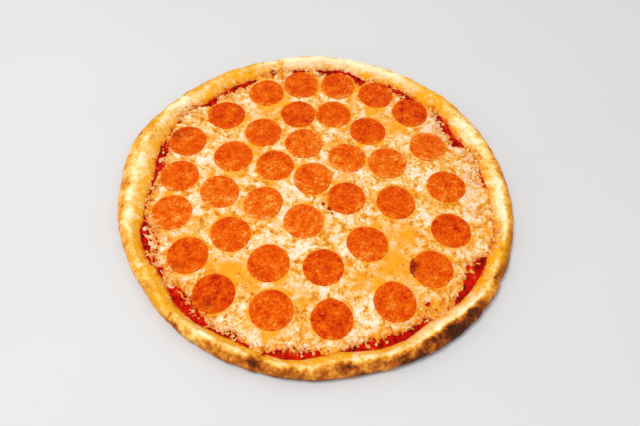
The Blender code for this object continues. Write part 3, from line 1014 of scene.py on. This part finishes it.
def lump(rng, size, flatness, rows=6, steps=12, slimmest=0.55):
    """Points and triangles of a small uneven lump, whose width is a share of its length."""
    turn = even_turns(steps)
    tilt = np.arange(1, rows + 1)[:, None] * math.pi / (rows + 1)
    ball = ring_points(np.sin(tilt), turn, np.cos(tilt))
    ball, triangles = closed_stack(ball, steps, (0, 0, 1), (0, 0, -1))
    ball *= (1 + 0.45 * noise(ball, 1100, int(rng.integers(200, 999))))[:, None]
    ball *= np.array([1, rng.uniform(slimmest, 1), flatness]) * size
    angle = rng.uniform(0, 2 * math.pi)
    cos, sin = math.cos(angle), math.sin(angle)
    x, y, z = ball.T
    return np.stack([x * cos - y * sin, x * sin + y * cos, z], axis=1), triangles


def surface_height(x, y):
    """Height of the highest of cheese, sauce and rim."""
    radius, turn = to_polar(x, y)
    return np.maximum(np.maximum(cheese_height(x, y)[0], sauce_height(x, y)), dough_height(radius, turn))


def on_surface(x, y, sink):
    """A place on the pizza's surface, sunk into it by some mm."""
    return [x, y, surface_height(np.array([x]), np.array([y]))[0] - sink * MM]


def shred_path(rng, x, y, length):
    """A curling path laid on the pizza from a point."""
    count = 13
    step = length / (count - 1)
    heading = rng.uniform(0, 2 * math.pi) + np.cumsum(rng.normal(0, 0.25, count) + rng.normal(0, 0.2))
    path_x = x + np.cumsum(np.cos(heading)) * step
    path_y = y + np.cumsum(np.sin(heading)) * step
    turn = np.arctan2(path_y, path_x)
    limit = np.minimum(cheese_edge(turn) + 4 * MM, foot_radius(turn) + 3 * MM)
    pull = np.minimum(1, limit / np.hypot(path_x, path_y))
    path_x, path_y = path_x * pull, path_y * pull
    along = np.linspace(0, math.pi, count)
    lift = (-1.3 + rng.uniform(1.2, 1.7) * np.sin(along) ** 0.6) * MM
    return np.stack([path_x, path_y, surface_height(path_x, path_y) + lift], axis=1), along


def add_loose_cheese(name, parts, material):
    """One mesh of cheese parts, which blush only near the sauce."""
    points, triangles, tones = gather(parts)
    near = ease(np.hypot(points[:, 0], points[:, 1]), 145 * MM, 165 * MM)
    masks = {"tone": tones, "oil": 0.12 + 0 * near, "toast": 0.15 + 0 * near, "blush": 0.20 * near}
    masks = {mask: padded(values, 0) for mask, values in masks.items()}
    make_piece(name, points, triangles, material, masks)


def add_bits(name, parts, light, dark, size):
    """One mesh of small bits in two colours."""
    points, triangles, _ = gather(parts)
    make_piece(name, points, triangles, bits_material(name, light, dark, size))


def add_shreds(material):
    """Shreds of cheese that kept their shape, most along the sauce."""
    rng = np.random.default_rng(71)
    parts = []
    for bearing, radius, spread_t, spread_r, count, length, tone in SHREDS:
        for _ in range(count):
            turn = math.radians(bearing + rng.normal(0, spread_t * 0.6))
            reach = (radius + rng.normal(0, spread_r * 0.6)) * MM
            path, along = shred_path(rng, *polar(reach, turn), length * rng.uniform(0.7, 1.4) * MM)
            thick = rng.uniform(0.45, 0.95) * MM
            thick = thick * (0.7 + 0.3 * np.sin(along) + rng.uniform(-0.15, 0.15, len(along)))
            parts.append((*tube(path, thick), tone - 0.20 + rng.normal(0, 0.12)))
    for _ in range(SCATTERED_SHREDS):
        turn, reach = rng.uniform(0, 2 * math.pi), 158 * MM * math.sqrt(rng.random())
        x, y = polar(reach, turn)
        if slice_distance(x, y) < 4 * MM:
            continue
        path, along = shred_path(rng, x, y, rng.uniform(4, 9) * MM)
        if slice_distance(path[:, 0], path[:, 1]).min() < 1 * MM:
            continue
        thick = rng.uniform(0.4, 0.7) * MM * (0.6 + 0.4 * np.sin(along))
        parts.append((*tube(path, thick), rng.uniform(0.40, 0.75)))
    add_loose_cheese("cheese_shreds", parts, material)


def add_curds(material):
    """Loose pale curds on the bare sauce."""
    rng = np.random.default_rng(74)
    parts = []
    for bearing, spread, count in CURDS:
        for _ in range(count):
            turn = math.radians(bearing + rng.uniform(-spread, spread))
            edge, foot = cheese_edge(turn), foot_radius(turn)
            room = max(foot - edge, 1.5 * MM)
            x, y = polar(edge - 1.5 * MM + (room + 1 * MM) * rng.random() ** 1.1, turn)
            if slice_distance(x, y) < 1 * MM:
                continue
            points, triangles = lump(rng, rng.uniform(0.9, 2.6) * MM, 0.32, 9, 16, 0.24)
            parts.append((points + on_surface(x, y, 0.2), triangles, rng.uniform(0.15, 0.70)))
    for bearing, radius, size, tone in LARGE_CURDS:
        x, y = polar(radius * MM, math.radians(bearing))
        points, triangles = lump(rng, size * MM, 0.5, 12, 24)
        parts.append((points + on_surface(x, y, 0.4), triangles, tone))
    add_loose_cheese("cheese_curds", parts, material)


def add_browned_bits():
    """Crisped brown bits of cheese and sauce along the ragged edge."""
    rng = np.random.default_rng(72)
    parts = []
    for _ in range(BROWNED_BITS):
        turn = rng.uniform(0, 2 * math.pi)
        x, y = polar(min(cheese_edge(turn) + rng.normal(-2.0, 2.6) * MM, foot_radius(turn)), turn)
        if slice_distance(x, y) < 0:
            continue
        points, triangles = lump(rng, rng.uniform(0.5, 1.6) * MM, 0.45)
        parts.append((points + on_surface(x, y, 0.05), triangles, 0.0))
    add_bits("bits_browned", parts, (0.42, 0.040, 0.005), (0.60, 0.17, 0.012), 2.5)


def add_scorched_edge():
    """Crisped red-brown edge that curls up beside one slice."""
    centre_x, centre_y, radius = SLICES[SCORCHED_SLICE - 1]
    turn = np.radians(np.linspace(*SCORCHED_EDGE, 22))
    along = np.linspace(0, math.pi, len(turn))
    reach = radius + 0.3 * MM + 0.5 * MM * np.sin(3 * along)
    path = ring_points(reach, turn, SLICE_TOP - 0.9 * MM) + [centre_x, centre_y, 0]
    points, triangles = tube(path, (0.3 + 2.0 * np.sin(along)) * MM, 12)
    points[:, 2] = (points[:, 2] - path[0, 2]) * 0.55 + path[0, 2] + 0.35 * MM * noise(points, 2.5, 54)
    points[:, :2] += 0.5 * MM * np.stack([noise(points, 4, 55), noise(points, 4, 56)], axis=1)
    parts = [(points, triangles, 0.0)]
    add_bits("edge_scorched", parts, (0.22, 0.008, 0.003), (0.46, 0.035, 0.004), 2.5)


def add_fat_and_glint_flecks():
    """Pale flecks on the slices, partly flecks of fat and partly painted highlights standing in for glints.
    """
    rng = np.random.default_rng(73)
    parts = []
    for number, (centre_x, centre_y, radius) in enumerate(SLICES, start=1):
        for _ in range(FLECKS_WHERE_SPECKLED if number in SPECKLED_SLICES else FLECKS):
            turn, reach = rng.uniform(0, 2 * math.pi), radius * 0.9 * math.sqrt(rng.random())
            points, triangles = lump(rng, rng.uniform(0.25, 0.6) * MM, 0.35, 4, 8)
            x, y = polar(reach, turn)
            parts.append((points + [centre_x + x, centre_y + y, SLICE_TOP + 0.1 * MM], triangles, 0.0))
    add_bits("fat_and_glint_flecks", parts, (0.84, 0.34, 0.06), (0.86, 0.54, 0.26), 3)


# Floor, light and camera

def add_floor():
    mesh = bpy.data.meshes.new("floor")
    corners = [(x * FLOOR_HALF, y * FLOOR_HALF, 0) for x, y in ((-1, -1), (1, -1), (1, 1), (-1, 1))]
    mesh.from_pydata(corners, [], [(0, 1, 2, 3)])
    floor = put_in_scene("floor", mesh)
    s = Shader("floor_pale", 0.7, 0.2)
    tone = s.noise(400, 2)
    mesh.materials.append(s.finish(s.mix(tone, (0.62, 0.62, 0.62), (0.68, 0.68, 0.68))))


def add_light(name, place, aim, size, power):
    data = bpy.data.lights.new(name, "AREA")
    data.shape = "SQUARE"
    data.size = size
    data.energy = power
    light = put_in_scene(name, data)
    light.location = place
    light.rotation_euler = (Vector(aim) - Vector(place)).to_track_quat("-Z", "Y").to_euler()


def add_camera():
    data = bpy.data.cameras.new("camera")
    data.sensor_width = SENSOR_WIDTH
    data.lens = FOCAL_PX * SENSOR_WIDTH / PHOTO_WIDTH
    data.clip_start = 0.01
    camera = put_in_scene("camera", data)
    down, roll = math.radians(CAMERA_DOWN), math.radians(CAMERA_ROLL)
    forward = Vector((0, math.cos(down), -math.sin(down)))
    right = Vector((1, 0, 0))
    up = right.cross(forward)
    side = right * math.cos(roll) + up * math.sin(roll)
    above = up * math.cos(roll) - right * math.sin(roll)
    turn = Matrix((side, above, -forward)).transposed().to_4x4()
    place = Vector(CAMERA_FROM_AXIS) + Vector((*AXIS, 0))
    camera.matrix_world = Matrix.Translation(place) @ turn
    bpy.context.scene.camera = camera


def set_stage():
    add_floor()
    add_camera()
    add_light("key", KEY_PLACE, (0, 0, 0), KEY_SIZE, KEY_POWER)
    world = bpy.data.worlds.new("studio")
    bpy.context.scene.world = world
    world.use_nodes = True
    background = world.node_tree.nodes["Background"]
    background.inputs["Color"].default_value = (1, 1, 1, 1)
    background.inputs["Strength"].default_value = STUDIO_STRENGTH
    bpy.context.scene.view_settings.view_transform = "Standard"


def main():
    set_stage()
    add_crust()
    add_sauce()
    cheese = cheese_material()
    add_cheese(cheese)
    add_slices()
    add_shreds(cheese)
    add_curds(cheese)
    add_browned_bits()
    add_scorched_edge()
    add_fat_and_glint_flecks()


main()
